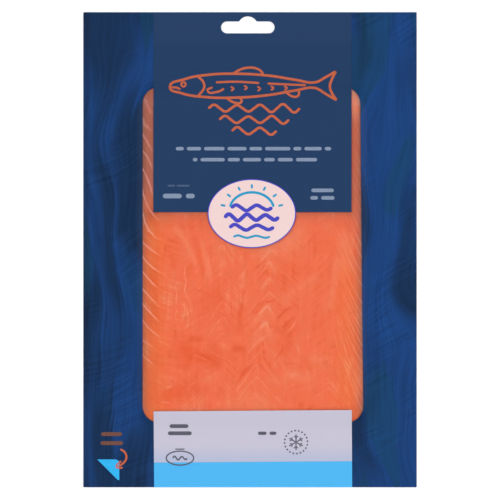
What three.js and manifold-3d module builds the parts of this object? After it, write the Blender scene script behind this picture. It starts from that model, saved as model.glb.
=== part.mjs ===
// A flat vacuum pack of long-sliced smoked salmon, lying on its back with the window up.
// Millimetres, +Z up. The origin is the middle of the pack's underside, and +Y points to the hang slot.
//
// The pack is two plastic webs welded together round a stack of salmon slices. The front web is drawn
// tight over the slices, and is printed except for a clear window. A title label with a badge, and a
// date label with a coloured foot, lie on top of it.

import * as THREE from 'three';
import { mergeVertices } from 'three/addons/utils/BufferGeometryUtils.js';
import Module from 'manifold-3d';

// The pack's outline
const PACK_WIDTH = 200;
const PACK_LENGTH = 285;

// The webs and labels, thicker than the real films so that each is a sound solid
const BACK_WEB = 0.5;
const FRONT_WEB = 0.3;
const LABEL = 0.25;
const BADGE = 0.2;
const LAYER_GAP = 0.05;

// The weld round the edge, and how far the front web stands up inside it
const SIDE_WELD = 15;
const TOP_WELD = 20.5;
const WELD_STEP = 4;
const WELD_RISE = 0.4;

// The clear window, which is a little wider at its foot
const WINDOW = { x: 1.3, y: -3, width: 131.4, length: 201, corner: 10, flare: 1 };
const WINDOW_CUT = 0.1;

// The stack of slices: how far it reaches past the window, its height, and the width of its rounded
// edge at the sides and at the ends. Its corners are a little rounder than its edge is wide, and the
// slices themselves stop where the front web has left them only a thin edge.
const SLICES_REACH = 7;
const SLICES_HEIGHT = 7.4;
const SIDE_SHOULDER = 11;
const END_SHOULDER = 18;
const CORNER_ROUNDING = 1.4;
const SLICES_TRIM = 0.22;
const FILM_CLEARANCE = 0.1;
const RIDGE_CLEARANCE = 0.15;
const SLICES_SWELL = 0.35;

// The muscle blocks that show on the top slice as bent ridges. Each bend is [mm from the window's left
// edge, mm that the ridge has climbed there].
const RIDGE_PITCH = 9;
const RIDGE_ROWS = 2;
const RIDGE_DEPTH = 0.35;
const COLUMN_STEP = 6;
const RIDGE_BENDS = [
  [-8, 14], [0, 0], [5.6, -6.6], [13.4, -13], [26, -20], [48.2, 4], [60.2, -11],
  [75.2, 7], [94.4, -12], [115.4, 7], [131.7, -29], [140, -47],
];

// The hang slot for a shop hook: a long slot with a round hump
const SLOT = { x: -1.3, y: 133.4, width: 32.1, height: 7.15, humpRadius: 6, humpHeight: 3.05 };

// The labels
const LABEL_WIDTH = 118.8;
const LABEL_X = 1.5;
const TITLE_LENGTH = 120;
const DATE_LABEL_X = 1.8;
const DATE_LABEL_TOP = -96.5;
const DATE_LABEL_TILT = 0.4;
const FOOT_TOP = -127.3;
const FOOT_SEAM = 0.1;
const BADGE_OVAL = { x: 1.1, y: 21.7, width: 53, height: 41.4 };

// What a cutting prism spans, which is past every surface, and how far it runs past the pack's edge
const BELOW = -5;
const ABOVE = 20;
const OVERRUN = 2;

// How finely a small arc and the large oval are faceted
const CORNER_FACETS = 12;
const OVAL_FACETS = 32;

const wasm = await Module();
wasm.setup();

const half = {
  x: WINDOW.width / 2 + SLICES_REACH,
  y: WINDOW.length / 2 + SLICES_REACH,
};
const cornerX = CORNER_ROUNDING * SIDE_SHOULDER;
const cornerY = CORNER_ROUNDING * END_SHOULDER;

// Eases from 0 to 1 as t goes from 0 to 1.
function ease(t) {
  const s = THREE.MathUtils.clamp(t, 0, 1);
  return s * s * (3 - 2 * s);
}

// How far up the rounded edge of the slices a point lies: 0 at its foot or outside, 1 on the level top.
function slicesRise(x, y) {
  const toCornerX = (Math.abs(x - WINDOW.x) - (half.x - cornerX)) / cornerX;
  const toCornerY = (Math.abs(y - WINDOW.y) - (half.y - cornerY)) / cornerY;
  const outward = Math.hypot(Math.max(toCornerX, 0), Math.max(toCornerY, 0));
  return ease(CORNER_ROUNDING * (1 - outward));
}

// How far a point lies inside the weld.
function depthInWeld(x, y) {
  const side = PACK_WIDTH / 2 - SIDE_WELD - Math.abs(x);
  const foot = y + PACK_LENGTH / 2 - SIDE_WELD;
  const top = PACK_LENGTH / 2 - TOP_WELD - y;
  return Math.min(side, foot, top);
}

// The unevenness of a stack of slices laid by hand.
function swell(x, y) {
  const along = Math.sin(x / 13 + 1) * Math.cos(y / 19);
  const across = Math.sin((x + y) / 17 - 0.6);
  return SLICES_SWELL * (0.6 * along + 0.4 * across);
}

// The front web's outer surface. The web follows the slices and lies flat on the back web elsewhere.
const WELD_TOP = BACK_WEB + LAYER_GAP + FRONT_WEB;
function frontSurface(x, y) {
  const flat = WELD_TOP + WELD_RISE * ease(depthInWeld(x, y) / WELD_STEP);
  return flat + slicesRise(x, y) * (SLICES_HEIGHT + swell(x, y));
}

// Numbers from a to b in equal steps, with b left out.
function steps(a, b, count) {
  return Array.from({ length: count }, (_, i) => a + ((b - a) * i) / count);
}

// The grid lines that every formed layer shares, so that the layers stay a constant distance apart.
const PLATEAU_COLUMNS = 10;
const PLATEAU_ROWS = 14;
const SIDE_LINES = 5;
const END_LINES = 6;
const gridX = [
  -PACK_WIDTH / 2,
  SIDE_WELD - PACK_WIDTH / 2,
  SIDE_WELD + WELD_STEP - PACK_WIDTH / 2,
  ...steps(WINDOW.x - half.x, WINDOW.x - half.x + SIDE_SHOULDER, SIDE_LINES),
  ...steps(WINDOW.x - half.x + SIDE_SHOULDER, WINDOW.x + half.x - SIDE_SHOULDER, PLATEAU_COLUMNS),
  ...steps(WINDOW.x + half.x - SIDE_SHOULDER, WINDOW.x + half.x, SIDE_LINES),
  WINDOW.x + half.x,
  PACK_WIDTH / 2 - SIDE_WELD - WELD_STEP,
  PACK_WIDTH / 2 - SIDE_WELD,
  PACK_WIDTH / 2,
];
const gridY = [
  -PACK_LENGTH / 2,
  SIDE_WELD - PACK_LENGTH / 2,
  SIDE_WELD + WELD_STEP - PACK_LENGTH / 2,
  ...steps(WINDOW.y - half.y, WINDOW.y - half.y + END_SHOULDER, END_LINES),
  ...steps(WINDOW.y - half.y + END_SHOULDER, WINDOW.y + half.y - END_SHOULDER, PLATEAU_ROWS),
  ...steps(WINDOW.y + half.y - END_SHOULDER, WINDOW.y + half.y, END_LINES),
  WINDOW.y + half.y,
  PACK_LENGTH / 2 - TOP_WELD - WELD_STEP,
  PACK_LENGTH / 2 - TOP_WELD,
  PACK_LENGTH / 2,
];

// A closed geometry between two surfaces. place(i, j) gives a grid point, and low and high its heights.
function between(columns, rows, place, low, high) {
  const points = [];
  for (const height of [low, high]) {
    for (let j = 0; j < rows; j += 1) {
      for (let i = 0; i < columns; i += 1) {
        const [x, y] = place(i, j);
        points.push(x, y, height(x, y, i, j));
      }
    }
  }
  const layer = columns * rows;
  const faces = [];
  // Two triangles for the upper surface and the same two, turned over, for the lower one
  for (let j = 0; j < rows - 1; j += 1) {
    for (let i = 0; i < columns - 1; i += 1) {
      const a = j * columns + i;
      const b = a + 1;
      const c = a + columns;
      const d = c + 1;
      faces.push(layer + a, layer + b, layer + d, layer + a, layer + d, layer + c);
      faces.push(a, d, b, a, c, d);
    }
  }
  // Walls along the four sides
  const wall = (a, b) => faces.push(a, b, layer + b, a, layer + b, layer + a);
  for (let i = 0; i < columns - 1; i += 1) {
    wall(i, i + 1);
    wall((rows - 1) * columns + i + 1, (rows - 1) * columns + i);
  }
  for (let j = 0; j < rows - 1; j += 1) {
    wall((j + 1) * columns, j * columns);
    wall(j * columns + columns - 1, (j + 1) * columns + columns - 1);
  }
  const geometry = new THREE.BufferGeometry();
  geometry.setAttribute('position', new THREE.Float32BufferAttribute(points, 3));
  geometry.setIndex(faces);
  return geometry;
}

// A closed geometry as a solid that can be cut.
function solid(geometry) {
  const bare = geometry.clone();
  bare.deleteAttribute('normal');
  bare.deleteAttribute('uv');
  const merged = mergeVertices(bare, 1e-4);
  return new wasm.Manifold(
    new wasm.Mesh({
      numProp: 3,
      vertProperties: merged.attributes.position.array,
      triVerts: new Uint32Array(merged.index.array),
    }),
  );
}

// A layer of the pack between two heights above or below the front web's outer surface.
function formedLayer(low, high) {
  return solid(
    between(
      gridX.length,
      gridY.length,
      (i, j) => [gridX[i], gridY[j]],
      (x, y) => (low === null ? BELOW : frontSurface(x, y) + low),
      (x, y) => frontSurface(x, y) + high,
    ),
  );
}

// A flat outline as an upright solid.
function prism(shape, from = BELOW, to = ABOVE, curveSegments = CORNER_FACETS) {
  const geometry = new THREE.ExtrudeGeometry(shape, {
    depth: to - from,
    bevelEnabled: false,
    curveSegments,
  });
  return solid(geometry.translate(0, 0, from));
}

// A rectangle with corners rounded by rx across and ry along, about a point. Its right side leans out by
// flare at the foot and in by flare at the top.
function roundedOutline(x, y, width, length, rx, ry, flare = 0) {
  const left = x - width / 2;
  const right = x + width / 2;
  const foot = y - length / 2;
  const top = y + length / 2;
  const shape = new THREE.Shape();
  shape.moveTo(left + rx, foot);
  shape.lineTo(right + flare - rx, foot);
  shape.absellipse(right + flare - rx, foot + ry, rx, ry, -Math.PI / 2, 0);
  shape.lineTo(right - flare, top - ry);
  shape.absellipse(right - flare - rx, top - ry, rx, ry, 0, Math.PI / 2);
  shape.lineTo(left + rx, top);
  shape.absellipse(left + rx, top - ry, rx, ry, Math.PI / 2, Math.PI);
  shape.lineTo(left, foot + ry);
  shape.absellipse(left + rx, foot + ry, rx, ry, Math.PI, Math.PI * 1.5);
  return shape;
}

function ovalOutline() {
  const { x, y, width, height } = BADGE_OVAL;
  return new THREE.Shape().absellipse(x, y, width / 2, height / 2, 0, Math.PI * 2);
}

// A label's rectangle, from low to high above a point of its middle line, and turned a little about it.
function labelOutline(x, y, low, high, degrees = 0) {
  const corner = (across, up) => {
    const turned = new THREE.Vector2(across, up);
    turned.rotateAround(new THREE.Vector2(0, 0), THREE.MathUtils.degToRad(degrees));
    return turned.add(new THREE.Vector2(x, y));
  };
  return new THREE.Shape([
    corner(-LABEL_WIDTH / 2, low),
    corner(LABEL_WIDTH / 2, low),
    corner(LABEL_WIDTH / 2, high),
    corner(-LABEL_WIDTH / 2, high),
  ]);
}

// The hang slot: two half circles, with a third, larger arc for the hump in the middle of the upper side.
function slotOutline() {
  const r = SLOT.height / 2;
  const end = SLOT.width / 2 - r;
  const humpCentre = SLOT.y + r + SLOT.humpHeight - SLOT.humpRadius;
  const humpStart = Math.asin(1 - SLOT.humpHeight / SLOT.humpRadius);
  const shape = new THREE.Shape();
  shape.moveTo(SLOT.x - end, SLOT.y - r);
  shape.lineTo(SLOT.x + end, SLOT.y - r);
  shape.absarc(SLOT.x + end, SLOT.y, r, -Math.PI / 2, Math.PI / 2);
  shape.absarc(SLOT.x, humpCentre, SLOT.humpRadius, humpStart, Math.PI - humpStart);
  shape.absarc(SLOT.x - end, SLOT.y, r, Math.PI / 2, Math.PI * 1.5);
  return shape;
}

const slot = prism(slotOutline());

// The back web: a flat sheet with the hang slot.
function backWeb() {
  const sheet = new THREE.BoxGeometry(PACK_WIDTH, PACK_LENGTH, BACK_WEB).translate(0, 0, BACK_WEB / 2);
  return solid(sheet).subtract(slot);
}

// The front web: printed, drawn over the slices, with the hang slot and the window's outline cut out.
function frontWeb() {
  const { x, y, width, length, corner, flare } = WINDOW;
  const opening = prism(roundedOutline(x, y, width, length, corner, corner, flare));
  return formedLayer(-FRONT_WEB, 0).subtract(slot).subtract(opening);
}

// The window: the same web where it isn't printed.
function windowFilm() {
  const { x, y, width, length, corner, flare } = WINDOW;
  const cut = 2 * WINDOW_CUT;
  const outline = roundedOutline(x, y, width - cut, length - cut, corner, corner, flare);
  return formedLayer(-FRONT_WEB, 0).intersect(prism(outline));
}

// The height that a ridge has climbed at x.
function ridgeClimb(x) {
  const across = x - (WINDOW.x - WINDOW.width / 2);
  const next = Math.max(1, RIDGE_BENDS.findIndex(([at]) => at >= across));
  const [a, climbA] = RIDGE_BENDS[next - 1];
  const [b, climbB] = RIDGE_BENDS[next];
  return THREE.MathUtils.mapLinear(across, a, b, climbA, climbB);
}

// The columns of the slices' grid, with one at each bend of the ridges.
function ridgeColumns() {
  const left = WINDOW.x - WINDOW.width / 2;
  const columns = [];
  for (let n = 0; n < RIDGE_BENDS.length - 1; n += 1) {
    const from = left + RIDGE_BENDS[n][0];
    const to = left + RIDGE_BENDS[n + 1][0];
    columns.push(...steps(from, to, Math.ceil((to - from) / COLUMN_STEP)));
  }
  columns.push(left + RIDGE_BENDS.at(-1)[0]);
  return columns;
}

// The stack of slices: its top has bent ridges, with rows of grid points that follow them. The front web
// has pressed its edges round.
function salmonSlices() {
  const columns = ridgeColumns();
  const climbs = columns.map(ridgeClimb);
  const reach = half.y + RIDGE_PITCH;
  const rowStep = RIDGE_PITCH / RIDGE_ROWS;
  const first = Math.floor((WINDOW.y - reach - Math.max(...climbs)) / rowStep);
  const last = Math.ceil((WINDOW.y + reach - Math.min(...climbs)) / rowStep);
  const underFilm = WELD_TOP + WELD_RISE + SLICES_HEIGHT - FRONT_WEB - FILM_CLEARANCE;
  const ridged = between(
    columns.length,
    last - first + 1,
    (i, j) => [columns[i], (first + j) * rowStep + climbs[i]],
    () => BELOW,
    (x, y, i, j) => {
      const groove = (first + j) % RIDGE_ROWS === 0 ? 1 : 0;
      return underFilm + swell(x, y) - RIDGE_CLEARANCE - RIDGE_DEPTH * groove;
    },
  );
  const trimX = SLICES_TRIM * SIDE_SHOULDER;
  const trimY = SLICES_TRIM * END_SHOULDER;
  const outline = roundedOutline(
    WINDOW.x,
    WINDOW.y,
    2 * (half.x - trimX),
    2 * (half.y - trimY),
    cornerX - trimX,
    cornerY - trimY,
  );
  return solid(ridged)
    .intersect(formedLayer(null, -FRONT_WEB - FILM_CLEARANCE))
    .intersect(prism(outline, BACK_WEB + LAYER_GAP));
}

// The title label: from the pack's top edge to the middle of the window, with a round tab that carries
// the badge.
function titleLabel() {
  const panel = prism(labelOutline(LABEL_X, PACK_LENGTH / 2, -TITLE_LENGTH, OVERRUN));
  const tab = prism(ovalOutline(), BELOW, ABOVE, OVAL_FACETS);
  return formedLayer(LAYER_GAP, LAYER_GAP + LABEL).intersect(panel.add(tab)).subtract(slot);
}

// The badge: an oval field on the title label's tab.
function badge() {
  const low = 2 * LAYER_GAP + LABEL;
  return formedLayer(low, low + BADGE).intersect(prism(ovalOutline(), BELOW, ABOVE, OVAL_FACETS));
}

// The date label covers the foot of the window. The foot band below it reaches the pack's lower edge.
function dateLabel() {
  const length = DATE_LABEL_TOP - FOOT_TOP;
  const outline = labelOutline(DATE_LABEL_X, FOOT_TOP, FOOT_SEAM, length, DATE_LABEL_TILT);
  return formedLayer(LAYER_GAP, LAYER_GAP + LABEL).intersect(prism(outline));
}

function footBand() {
  const length = FOOT_TOP + PACK_LENGTH / 2 + OVERRUN;
  const outline = labelOutline(DATE_LABEL_X, FOOT_TOP, -length, 0, DATE_LABEL_TILT);
  return formedLayer(LAYER_GAP, LAYER_GAP + LABEL).intersect(prism(outline));
}

// A finished solid as a named mesh.
function piece(name, made, material) {
  const mesh = made.getMesh();
  const geometry = new THREE.BufferGeometry();
  geometry.setAttribute('position', new THREE.BufferAttribute(mesh.vertProperties, 3));
  geometry.setIndex(new THREE.BufferAttribute(mesh.triVerts, 1));
  const flat = geometry.toNonIndexed();
  flat.computeVertexNormals();
  const result = new THREE.Mesh(flat, material);
  result.name = name;
  return result;
}

const finish = (color, roughness, extra = {}) =>
  new THREE.MeshStandardMaterial({ color, roughness, metalness: 0, ...extra });

const webs = new THREE.Group();
webs.add(
  piece('back_web', backWeb(), finish('#1d3868', 0.45)),
  piece('front_web', frontWeb(), finish('#1f4072', 0.35)),
  piece('window_film', windowFilm(), finish('#ffffff', 0.1, { transparent: true, opacity: 0.15 })),
);

const contents = new THREE.Group();
contents.add(piece('salmon_slices', salmonSlices(), finish('#f0714e', 0.5)));

const labels = new THREE.Group();
labels.add(
  piece('title_label', titleLabel(), finish('#283f63', 0.5)),
  piece('badge', badge(), finish('#f4d8d5', 0.5)),
  piece('date_label', dateLabel(), finish('#c9c6d5', 0.5)),
  piece('foot_band', footBand(), finish('#52baf6', 0.45)),
);

const pack = new THREE.Group();
pack.add(webs, contents, labels);

export default pack;
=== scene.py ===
# A shut vacuum pack of long-sliced smoked salmon, lying on its back with its printed front and window up.
# Sizes are in millimetres, and MM turns them to metres. X is across the pack, Y runs to its hang slot.

import math

import bpy
import numpy as np
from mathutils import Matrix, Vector


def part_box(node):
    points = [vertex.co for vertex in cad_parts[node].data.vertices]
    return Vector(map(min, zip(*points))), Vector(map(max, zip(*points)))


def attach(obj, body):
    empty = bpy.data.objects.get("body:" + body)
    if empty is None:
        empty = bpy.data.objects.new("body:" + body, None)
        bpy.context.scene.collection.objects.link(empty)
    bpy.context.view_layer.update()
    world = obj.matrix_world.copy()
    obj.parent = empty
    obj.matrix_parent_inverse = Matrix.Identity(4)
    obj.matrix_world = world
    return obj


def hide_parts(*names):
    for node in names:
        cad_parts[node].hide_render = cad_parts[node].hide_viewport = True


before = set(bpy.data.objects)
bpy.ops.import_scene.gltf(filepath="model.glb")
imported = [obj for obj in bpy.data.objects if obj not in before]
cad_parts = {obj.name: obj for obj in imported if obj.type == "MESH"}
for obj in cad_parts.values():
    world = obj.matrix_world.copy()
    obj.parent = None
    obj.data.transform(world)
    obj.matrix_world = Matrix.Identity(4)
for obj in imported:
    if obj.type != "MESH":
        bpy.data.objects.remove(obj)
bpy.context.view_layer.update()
MM = 0.001


# Back web. A stiff plastic sheet that carries the slices. It is plain blue, satin outside, welded to the
# front web all round, trimmed square with it, and punched with a long slot for a shop's hook. The pack has
# been handled, so its rim no longer lies quite flat.
BACK_BLUE = "#1c3668"
SLOT = {"x": -1.3, "y": 133.4, "width": 32.1, "height": 7.15, "hump_radius": 6, "hump_height": 3.05}
RIM_LIFT = 0.9
RIM_WAVE = 0.22
# The mesh's cells: fine where the film is drawn over the slices, coarse in the back, which is nearly flat
CELL = 1.0
BACK_CELL = 2.5
CUT_DEPTH = 8.0
# A flat piece's upper face lies at this height, or above it, until the piece is pressed to shape
FULL = 0.2

back_low, back_high = (Vector(corner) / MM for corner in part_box("back_web"))
half_width, half_length = back_high.x, back_high.y


def deselect():
    bpy.ops.object.select_all(action="DESELECT")


def take(piece):
    """Selects one piece alone, for the operators that follow."""
    deselect()
    bpy.context.view_layer.objects.active = piece
    piece.select_set(True)


def edit(piece, select):
    """Opens a piece in edit mode, with only those edges selected for which select(a, b) is true."""
    take(piece)
    bpy.ops.object.mode_set(mode="EDIT")
    bpy.ops.mesh.select_mode(type="EDGE")
    bpy.ops.mesh.select_all(action="DESELECT")
    bpy.ops.object.mode_set(mode="OBJECT")
    corners = piece.data.vertices
    for edge in piece.data.edges:
        edge.select = select(*(corners[i].co / MM for i in edge.vertices))
    bpy.ops.object.mode_set(mode="EDIT")


def upright(a, b):
    return abs(a.z - b.z) > 1


def block(x, y, width, length, degrees=0):
    """A block that reaches through every layer, to cut an outline with."""
    deselect()
    place = {"location": (x * MM, y * MM, 0), "rotation": (0, 0, math.radians(degrees))}
    bpy.ops.mesh.primitive_cube_add(size=1, scale=(width * MM, length * MM, CUT_DEPTH * MM), **place)
    bpy.ops.object.transform_apply()
    return bpy.context.object


def round_edges(tool, radius, select=upright, segments=12):
    edit(tool, select)
    bpy.ops.mesh.bevel(offset=radius * MM, segments=segments)
    bpy.ops.object.mode_set(mode="OBJECT")


def keep_ahead(tool, point, direction):
    """Cuts a tool at the plane through a point, and keeps what lies ahead of it."""
    edit(tool, upright)
    bpy.ops.mesh.select_all(action="SELECT")
    bpy.ops.mesh.bisect(plane_co=point, plane_no=direction, clear_inner=True, use_fill=True, threshold=1e-7)
    bpy.ops.object.mode_set(mode="OBJECT")


def combine(piece, tool, operation):
    """Joins a piece to a tool, or cuts it with one, and throws the tool away."""
    take(piece)
    cut = piece.modifiers.new("cut", "BOOLEAN")
    cut.object = tool
    cut.operation = operation
    cut.solver = "MANIFOLD"
    bpy.ops.object.modifier_apply(modifier=cut.name)
    bpy.data.objects.remove(tool)


def slot_tool():
    """The punch for the hang slot: a long round-ended hole with a round hump for the hook."""
    tool = block(SLOT["x"], SLOT["y"], SLOT["width"], SLOT["height"])
    round_edges(tool, SLOT["height"] / 2 - 0.01)
    centre = SLOT["y"] + SLOT["height"] / 2 + SLOT["hump_height"] - SLOT["hump_radius"]
    place = (SLOT["x"] * MM, centre * MM, 0)
    deselect()
    bpy.ops.mesh.primitive_cylinder_add(
        vertices=96, radius=SLOT["hump_radius"] * MM, depth=CUT_DEPTH * MM, location=place
    )
    bpy.ops.object.transform_apply()
    hump = bpy.context.object
    keep_ahead(hump, (0, SLOT["y"] * MM, 0), (0, 1, 0))
    combine(tool, hump, "UNION")
    return tool


def sheet(low, high, thickness, cell=CELL):
    """A flat sheet over a rectangle. Its square cells lie on the same grid lines as every other sheet's."""
    origin = Vector((-half_width, -half_length, 0))
    first = [math.floor((low[i] - origin[i]) / cell) for i in (0, 1)]
    last = [math.ceil((high[i] - origin[i]) / cell) for i in (0, 1)]
    count = [last[i] - first[i] for i in (0, 1)]
    centre = [origin[i] + cell * (first[i] + last[i]) / 2 for i in (0, 1)]
    deselect()
    bpy.ops.mesh.primitive_grid_add(x_subdivisions=count[0], y_subdivisions=count[1], size=1)
    bpy.ops.transform.resize(value=(count[0] * cell * MM, count[1] * cell * MM, 1))
    bpy.ops.transform.translate(value=(centre[0] * MM, centre[1] * MM, 0))
    bpy.ops.object.transform_apply()
    made = bpy.context.object
    bpy.ops.object.mode_set(mode="EDIT")
    bpy.ops.mesh.select_all(action="SELECT")
    bpy.ops.mesh.extrude_region_move(TRANSFORM_OT_translate={"value": (0, 0, thickness * MM)})
    bpy.ops.object.mode_set(mode="OBJECT")
    return made


def places_of(piece):
    """The x, y and z of all of a piece's points, in millimetres."""
    places = np.empty(len(piece.data.vertices) * 3)
    piece.data.vertices.foreach_get("co", places)
    return (places.reshape(-1, 3) / MM).T


def form(piece, lower, upper):
    """Presses a flat piece to shape: lower(x, y) and upper(x, y) are the heights of its two faces. What is
    at height 0 goes to the lower face, and what is at FULL or above goes to the upper one."""
    x, y, z = places_of(piece)
    share = np.clip(z / FULL, 0, 1)
    pressed = lower(x, y) * (1 - share) + upper(x, y) * share
    piece.data.vertices.foreach_set("co", (np.stack([x, y, pressed], axis=1) * MM).ravel())
    piece.data.update()
    take(piece)
    bpy.ops.object.shade_smooth_by_angle(angle=math.radians(40))


def rim_lift(x, y):
    """How far the rim has sprung up from the table: most at the corners, and in slow waves between."""
    across = np.abs(x) / half_width
    along = np.abs(y) / half_length
    corner = RIM_LIFT * across**8 * along**6
    waves = 0.5 + 0.5 * np.sin(y / 19 + 2.1 * np.sign(x)) * np.cos(x / 23)
    return corner + RIM_WAVE * waves * (across**10 + along**14)


def back_top(x, y):
    return back_high.z + rim_lift(x, y)


def linear(colour):
    """An sRGB hex colour as linear light."""
    parts = [int(colour[i : i + 2], 16) / 255 for i in (1, 3, 5)]
    return [c / 12.92 if c <= 0.04045 else ((c + 0.055) / 1.055) ** 2.4 for c in parts] + [1]


def add_node(tree, kind, inputs, **settings):
    """Adds a node with its settings. Each input is a value, the output socket that feeds it, or a node,
    which stands for its first output."""
    made = tree.nodes.new("ShaderNode" + kind)
    for name, value in settings.items():
        setattr(made, name, value)
    for socket, value in inputs.items():
        if isinstance(value, bpy.types.Node):
            value = value.outputs[0]
        if isinstance(value, bpy.types.NodeSocket):
            tree.links.new(value, made.inputs[socket])
        else:
            made.inputs[socket].default_value = value
    return made


def new_material(name, piece):
    """Gives a piece a new, empty material, and returns its node tree."""
    material = bpy.data.materials.new(name)
    material.use_nodes = True
    material.node_tree.nodes.clear()
    piece.data.materials.clear()
    piece.data.materials.append(material)
    return material.node_tree


# The setting of a Map Range node that eases in and out
SMOOTH = {"interpolation_type": "SMOOTHSTEP"}


def satin_film(tree, colour, roughness, grain=0.06):
    """Calendered plastic film. Its faint orange-peel comes from the chilled roll that it was cast on."""
    place = add_node(tree, "TexCoord", {}).outputs["Object"]
    peel = add_node(tree, "TexNoise", {"Vector": place, "Scale": 1 / (2.2 * MM), "Detail": 2})
    bump = add_node(tree, "Bump", {"Height": peel, "Strength": grain, "Distance": 0.2 * MM})
    finish = {"Base Color": colour, "Roughness": roughness, "IOR": 1.5, "Specular IOR Level": 0.3}
    shade = add_node(tree, "BsdfPrincipled", {**finish, "Normal": bump})
    add_node(tree, "OutputMaterial", {"Surface": shade})


back_film = sheet(back_low, back_high, back_high.z, BACK_CELL)
combine(back_film, slot_tool(), "DIFFERENCE")
form(back_film, rim_lift, back_top)
back_film.name = "back_film"
satin_film(new_material("calendered_blue_film", back_film), linear(BACK_BLUE), 0.42)
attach(back_film, "root")
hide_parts("back_web")


# Salmon slices. Cold-smoked fillet cut along its length into thin slices, laid flat on each other and
# pressed by the vacuum. It is moist and lets light through, and where the print shades it the shade is also
# painted into its colour. It shows muscle in zigzag rows with pale seams of fat: bold on the left, at the
# belly, and fine on the right.
FLESH = "#fa815b"
FLESH_DEEP = "#ee683c"
FLESH_PALE = "#ffa17f"
FAT = "#ffb093"
FIBRE = "#ec6036"
# What the full painted shade on the flesh and on the fat, or a full smoke stain, multiplies the colour by
PAINTED_SHADE_TINT = (0.38, 0.58, 0.86)
FAT_PAINTED_SHADE_TINT = (0.68, 0.8, 1.3)
BROWNED = (0.98, 0.98, 0.74)
WINDOW = {"x": 1.3, "y": -3, "width": 131.4, "length": 201, "corner": 10, "flare": 1}
# The stack: how far it reaches past the window, how high it is, and how it rounds down at its edges
SLICES_REACH = 7
SLICES_HEIGHT = 7.4
SIDE_SHOULDER = 11
END_SHOULDER = 18
CORNER_ROUNDING = 1.4
SLICES_TRIM = 0.22
# The film over it: welded flat this far in from the pack's edges, then free and drawn up to the stack
SIDE_WELD = 15
TOP_WELD = 20.5
WELD_STEP = 4
WELD_RISE = 0.4
FOLD_HEIGHT = 0.5
LAYER_GAP = 0.05
FILM = 0.3
# The muscle rows: their spacing, the groove at each seam, and how the middle bend drifts to the left
ROW_PITCH = 9.3
SEAM_GROOVE = 0.14
DRIFT = {"by": 9, "below": -52, "over": 40, "middle": 70, "wide": 34}
# The zigzag of a row: [mm from the window's left edge, mm that the row has climbed there]
ROW_BENDS = [
    [-8, 13], [0, 0], [5.2, -4.9], [10.6, -7.9], [26, -15], [48.4, 4], [60.2, -10],
    [75, 7], [95, -11], [114, 6], [123, -8], [132, -25], [140, -42],
]
# Where the rows show clearly: how much, mm from the window's left edge, how wide, lowest and highest
CLEAR_ROWS = [(1, 75, 10, -92, 3), (0.6, 48, 9, -60, -24)]
# A patch where the slice below shows, whose rows fall to the right instead
TURNED = {"x": -27, "y": -63, "radius": 10, "by": 0.16}
TITLE = {"x": 1.5, "width": 118.8, "foot": 22.5}
# How much painted shade darkens the flesh, and over how many mm: in from the window's left and right sides,
# down from the title label, in the strips to the left and right of it, and less so right at its edge
PAINTED_SHADES = {"left": (0.66, 4), "right": (0.84, 3), "title": (0.6, 4)}
PAINTED_SHADES |= {"left_strip": (1.03, 5), "right_strip": (0.28, 5), "title_edge": (-0.27, 1.2)}
# Where the painted shade on the right side is less, and painted pools of light beside the title label that
# lighten the painted shade: x, y, radius across and along, how much
LESS_PAINTED_SHADE = {"y": -77, "radius": 14, "by": 0.35}
PAINTED_LIGHT_POOLS = [(-61, 27, 6, 10, 0.3), (63, 24, 5, 6, 0.12), (63, 86, 5, 7, 0.3)]
# Where smoke has browned the flesh: mm in from the window's side, and how wide
BELLY_BROWN = (6, 9)
BACK_BROWN = (8, 8)
# How a seam is drawn: how far across it is strong, and over how many mm it fades in and out
SEAM_REACH = 1.2
FADE_IN = 2.5
FADE_OUT = 5
FAR = 9.0
# Seams at the belly edge, on the left. Each starts just outside the window, is drawn towards a corner, and
# ends further in: strength, height at its start, then its corner and its end, as [mm in from the window's
# edge, height]
BELLY_HALF = 0.7
BELLY_OUTSIDE = 1.3
BELLY_SEAMS = [
    (0.72, 71.5, [3, 64.5], [7.5, 56.2]), (0.78, 60.5, [5.2, 55], [6.3, 44.9]),
    (0.88, 50.5, [4.8, 41.5], [7, 28]), (0.88, 41, [1.4, 22], [12.8, 15.4]),
    (0.88, 32, [0.2, 8.5], [11.6, 5.5]), (0.88, 6.6, [3, 0.4], [12, -4.6]),
    (0.88, -1.8, [3.8, -11], [12.2, -14.5]), (0.88, -11.4, [4, -18.8], [10.5, -24.2]),
    (0.88, -22, [4, -28.6], [10, -33.8]), (0.88, -31, [5, -38.2], [11, -44.5]),
    (0.62, -40, [4.2, -49.5], [12.2, -53.5]), (0.62, -53.2, [3, -56], [8, -59.8]),
    (0.62, -61.2, [3, -66.3], [8.5, -70.4]),
]
# Seams at the back's edge, on the right, which climb from outside the window, ever steeper: strength,
# height at their start, mm climbed for each mm inwards, how far inwards they reach
BACK_HALF = 0.42
BACK_OUTSIDE = 0.9
BACK_STEEPER = 0.05
BACK_SEAMS = [
    (0.2, 46.2, 1.9, 8.4), (0.2, 38.5, 1.9, 8.4), (0.2, 31.2, 1.9, 8.4), (0.2, 24.5, 1.9, 8.4),
    (0.18, 18.5, 1.9, 8.4), (0.18, 11.9, 1.85, 8.4), (0.2, 5.5, 1.8, 8.4), (0.5, -0.8, 1.65, 8.4),
    (0.6, -7.9, 1.6, 10.2), (0.5, -16.9, 1.5, 13.2), (0.5, -24.1, 1.4, 15.4), (0.5, -34.4, 1.3, 14.5),
    (0.5, -41.5, 1.3, 15.2), (0.3, -45.8, 1.35, 16.5), (0.5, -49.9, 1.2, 14.5), (0.3, -54.8, 1.4, 17),
    (0.5, -59.5, 1.35, 15), (0.3, -64.8, 1.45, 17), (0.45, -69.8, 1.25, 15), (0.3, -77, 1.4, 17.5),
    (0.45, -86.5, 1.55, 18.3), (0.3, -92.5, 1.65, 17), (0.45, -99.1, 1.85, 16),
]
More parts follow.
